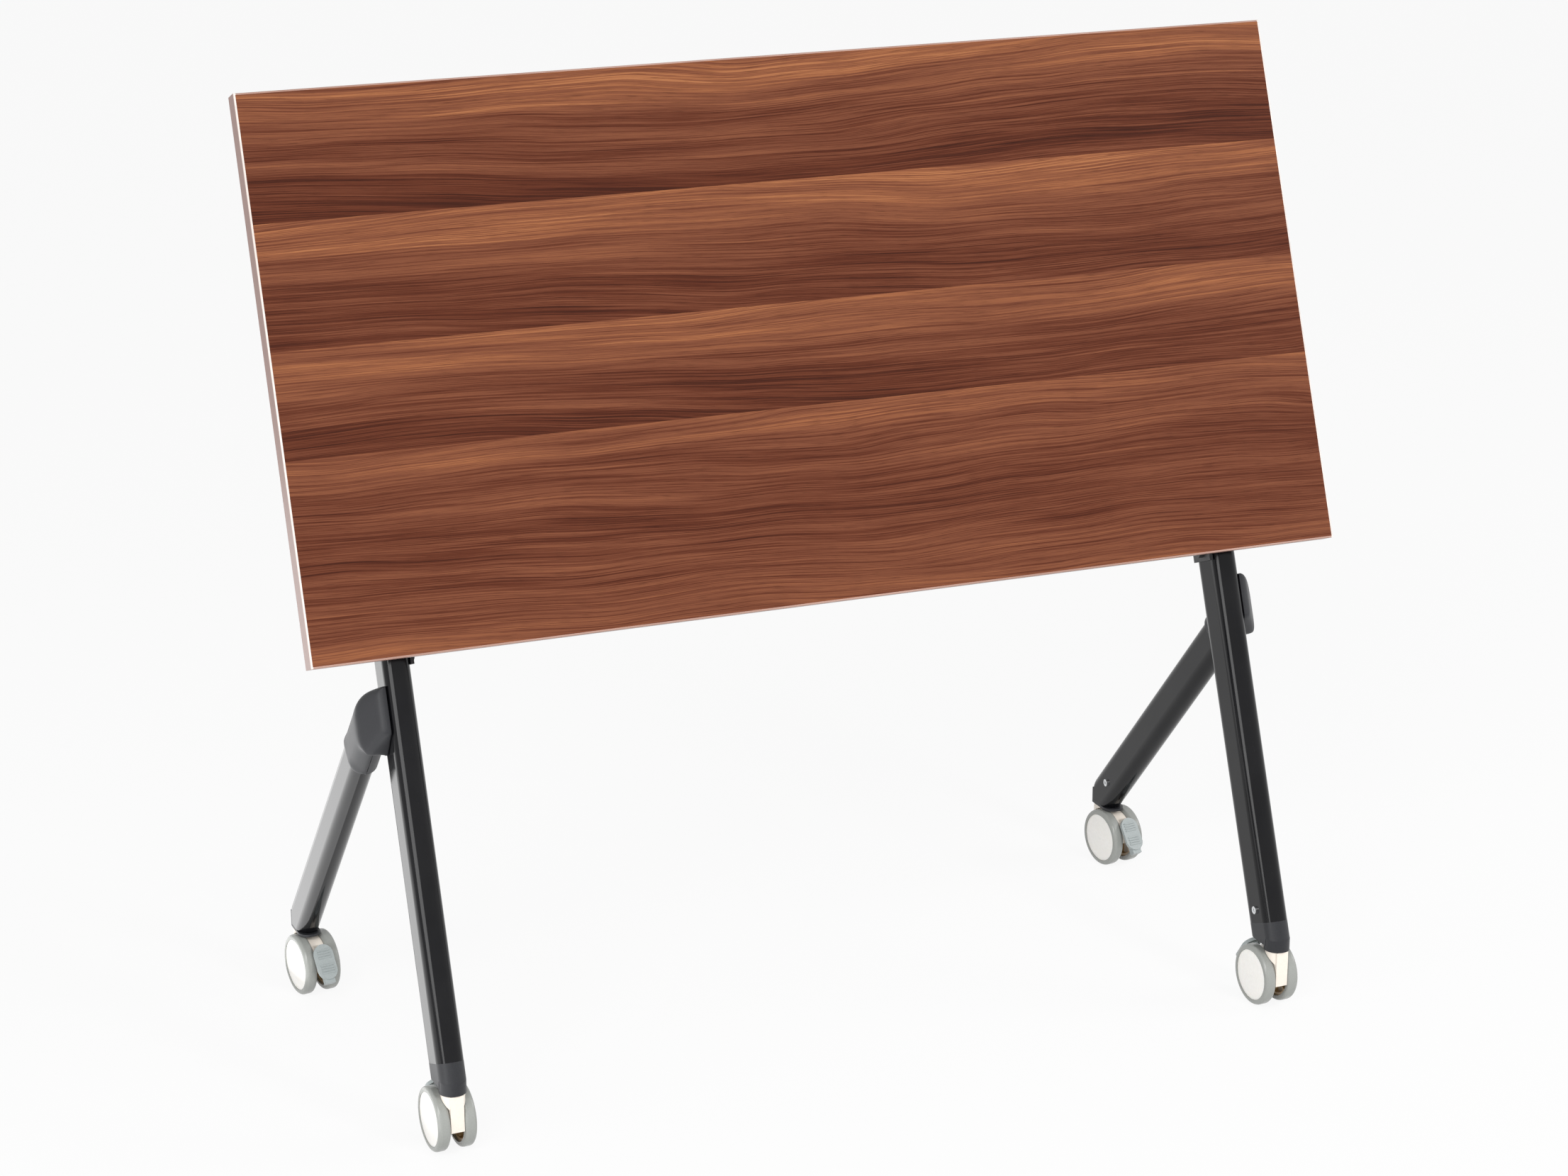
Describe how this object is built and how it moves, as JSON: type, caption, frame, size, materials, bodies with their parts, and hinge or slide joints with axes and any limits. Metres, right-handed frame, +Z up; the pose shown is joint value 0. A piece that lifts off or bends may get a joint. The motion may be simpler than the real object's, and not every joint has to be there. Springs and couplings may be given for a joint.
{
  "type": "flip-top folding desk",
  "caption": "Mobile training desk with a rectangular walnut-figured top that flips upright on lambda-shaped black tube legs with braked twin-wheel casters.",
  "frame": {"origin": "on the floor, under the middle of the overall box, in the stored position with the top upright", "axes": "+X along the length of the top to the viewer's right, -Y towards the side the work surface faces, +Z up"},
  "size_m": [1.2, 0.5268, 1.0859],
  "materials": {
    "top_laminate": "satin walnut-figured laminate on particle board",
    "edge_band": "satin plain edge band",
    "frame_black": "satin black powder coat",
    "leg_gloss_black": "gloss black coat on steel tube",
    "cover_plastic": "fine-grained dark grey moulding",
    "handle_plastic": "matte black moulding",
    "bush_plastic": "natural nylon",
    "zinc_steel": "bright zinc plate",
    "caster_white": "cream-white moulding",
    "pedal_grey": "pale blue-grey moulding",
    "tyre_grey": "semi-gloss grey tread"
  },
  "bodies": {
    "frame": {"leg_head_left": "frame_black", "leg_head_right": "frame_black", "main_leg_left": "leg_gloss_black", "main_leg_right": "leg_gloss_black", "rear_leg_left": "leg_gloss_black", "rear_leg_right": "leg_gloss_black", "knee_cover_outer_left": "cover_plastic", "knee_cover_outer_right": "cover_plastic", "knee_cover_inner_left": "cover_plastic", "knee_cover_inner_right": "cover_plastic", "foot_cap_left": "cover_plastic", "foot_cap_right": "cover_plastic", "foot_plug_left": "cover_plastic", "foot_plug_right": "cover_plastic", "pivot_bushes": "bush_plastic", "knee_bolts": "zinc_steel", "nut_plates": "zinc_steel", "crossbeam": "frame_black", "crossbeam_bolts": "zinc_steel", "leg_screws": "zinc_steel", "caster_stems": "zinc_steel"},
    "top": {"tabletop_board": "top_laminate", "edge_bands": "edge_band", "top_bracket_left": "frame_black", "top_bracket_right": "frame_black", "bracket_screws": "zinc_steel", "pivot_pins": "zinc_steel", "latch_springs": "zinc_steel"},
    "release": {"release_shaft": "zinc_steel", "latch_hooks": "zinc_steel", "release_handles": "handle_plastic"},
    "caster_front_left": {"caster_hood_front_left": "caster_white", "axle_front_left": "zinc_steel"},
    "pedal_front_left": {"brake_pedal_front_left": "pedal_grey"},
    "wheel_front_left_a": {"tyre_front_left_a": "tyre_grey", "hub_front_left_a": "caster_white"},
    "wheel_front_left_b": {"tyre_front_left_b": "tyre_grey", "hub_front_left_b": "caster_white"},
    "caster_front_right": {"caster_hood_front_right": "caster_white", "axle_front_right": "zinc_steel"},
    "pedal_front_right": {"brake_pedal_front_right": "pedal_grey"},
    "wheel_front_right_a": {"tyre_front_right_a": "tyre_grey", "hub_front_right_a": "caster_white"},
    "wheel_front_right_b": {"tyre_front_right_b": "tyre_grey", "hub_front_right_b": "caster_white"},
    "caster_rear_left": {"caster_hood_rear_left": "caster_white", "axle_rear_left": "zinc_steel"},
    "pedal_rear_left": {"brake_pedal_rear_left": "pedal_grey"},
    "wheel_rear_left_a": {"tyre_rear_left_a": "tyre_grey", "hub_rear_left_a": "caster_white"},
    "wheel_rear_left_b": {"tyre_rear_left_b": "tyre_grey", "hub_rear_left_b": "caster_white"},
    "caster_rear_right": {"caster_hood_rear_right": "caster_white", "axle_rear_right": "zinc_steel"},
    "pedal_rear_right": {"brake_pedal_rear_right": "pedal_grey"},
    "wheel_rear_right_a": {"tyre_rear_right_a": "tyre_grey", "hub_rear_right_a": "caster_white"},
    "wheel_rear_right_b": {"tyre_rear_right_b": "tyre_grey", "hub_rear_right_b": "caster_white"}
  },
  "joints": [
    {"name": "top_flip", "type": "hinge", "parent": "frame", "child": "top", "pos_m": [0, -0.0171, 0.677], "axis": [-1, 0, 0], "range_deg": [0, 69]},
    {"name": "handle_release", "type": "hinge", "parent": "top", "child": "release", "pos_m": [0, -0.01355, 0.74205], "axis": [1, 0, 0], "range_deg": [0, 15], "stiffness_Nm_per_rad": 1.5, "springref_deg": -8.59},
    {"name": "swivel_front_left", "type": "hinge", "parent": "frame", "child": "caster_front_left", "pos_m": [-0.4925, -0.2465, 0.072], "axis": [0, 0, 1], "continuous": true},
    {"name": "roll_front_left_a", "type": "hinge", "parent": "caster_front_left", "child": "wheel_front_left_a", "pos_m": [-0.49352, -0.22703, 0.0355], "axis": [0.9986, 0.0523, 0], "continuous": true},
    {"name": "roll_front_left_b", "type": "hinge", "parent": "caster_front_left", "child": "wheel_front_left_b", "pos_m": [-0.49352, -0.22703, 0.0355], "axis": [0.9986, 0.0523, 0], "continuous": true},
    {"name": "brake_front_left", "type": "hinge", "parent": "caster_front_left", "child": "pedal_front_left", "pos_m": [-0.49467, -0.20506, 0.0495], "axis": [-0.9986, -0.0523, 0], "range_deg": [0, 12]},
    {"name": "swivel_front_right", "type": "hinge", "parent": "frame", "child": "caster_front_right", "pos_m": [0.4925, -0.2465, 0.072], "axis": [0, 0, 1], "continuous": true},
    {"name": "roll_front_right_a", "type": "hinge", "parent": "caster_front_right", "child": "wheel_front_right_a", "pos_m": [0.49148, -0.22703, 0.0355], "axis": [0.9986, 0.0523, 0], "continuous": true},
    {"name": "roll_front_right_b", "type": "hinge", "parent": "caster_front_right", "child": "wheel_front_right_b", "pos_m": [0.49148, -0.22703, 0.0355], "axis": [0.9986, 0.0523, 0], "continuous": true},
    {"name": "brake_front_right", "type": "hinge", "parent": "caster_front_right", "child": "pedal_front_right", "pos_m": [0.49033, -0.20506, 0.0495], "axis": [-0.9986, -0.0523, 0], "range_deg": [0, 12]},
    {"name": "swivel_rear_left", "type": "hinge", "parent": "frame", "child": "caster_rear_left", "pos_m": [-0.521, 0.2451, 0.072], "axis": [0, 0, 1], "continuous": true},
    {"name": "roll_rear_left_a", "type": "hinge", "parent": "caster_rear_left", "child": "wheel_rear_left_a", "pos_m": [-0.51829, 0.22579, 0.0355], "axis": [-0.9903, -0.1392, 0], "continuous": true},
    {"name": "roll_rear_left_b", "type": "hinge", "parent": "caster_rear_left", "child": "wheel_rear_left_b", "pos_m": [-0.51829, 0.22579, 0.0355], "axis": [-0.9903, -0.1392, 0], "continuous": true},
    {"name": "brake_rear_left", "type": "hinge", "parent": "caster_rear_left", "child": "pedal_rear_left", "pos_m": [-0.51522, 0.204, 0.0495], "axis": [0.9903, 0.1392, 0], "range_deg": [0, 12]},
    {"name": "swivel_rear_right", "type": "hinge", "parent": "frame", "child": "caster_rear_right", "pos_m": [0.521, 0.2451, 0.072], "axis": [0, 0, 1], "continuous": true},
    {"name": "roll_rear_right_a", "type": "hinge", "parent": "caster_rear_right", "child": "wheel_rear_right_a", "pos_m": [0.52371, 0.22579, 0.0355], "axis": [-0.9903, -0.1392, 0], "continuous": true},
    {"name": "roll_rear_right_b", "type": "hinge", "parent": "caster_rear_right", "child": "wheel_rear_right_b", "pos_m": [0.52371, 0.22579, 0.0355], "axis": [-0.9903, -0.1392, 0], "continuous": true},
    {"name": "brake_rear_right", "type": "hinge", "parent": "caster_rear_right", "child": "pedal_rear_right", "pos_m": [0.52678, 0.204, 0.0495], "axis": [0.9903, 0.1392, 0], "range_deg": [0, 12]}
  ]
}
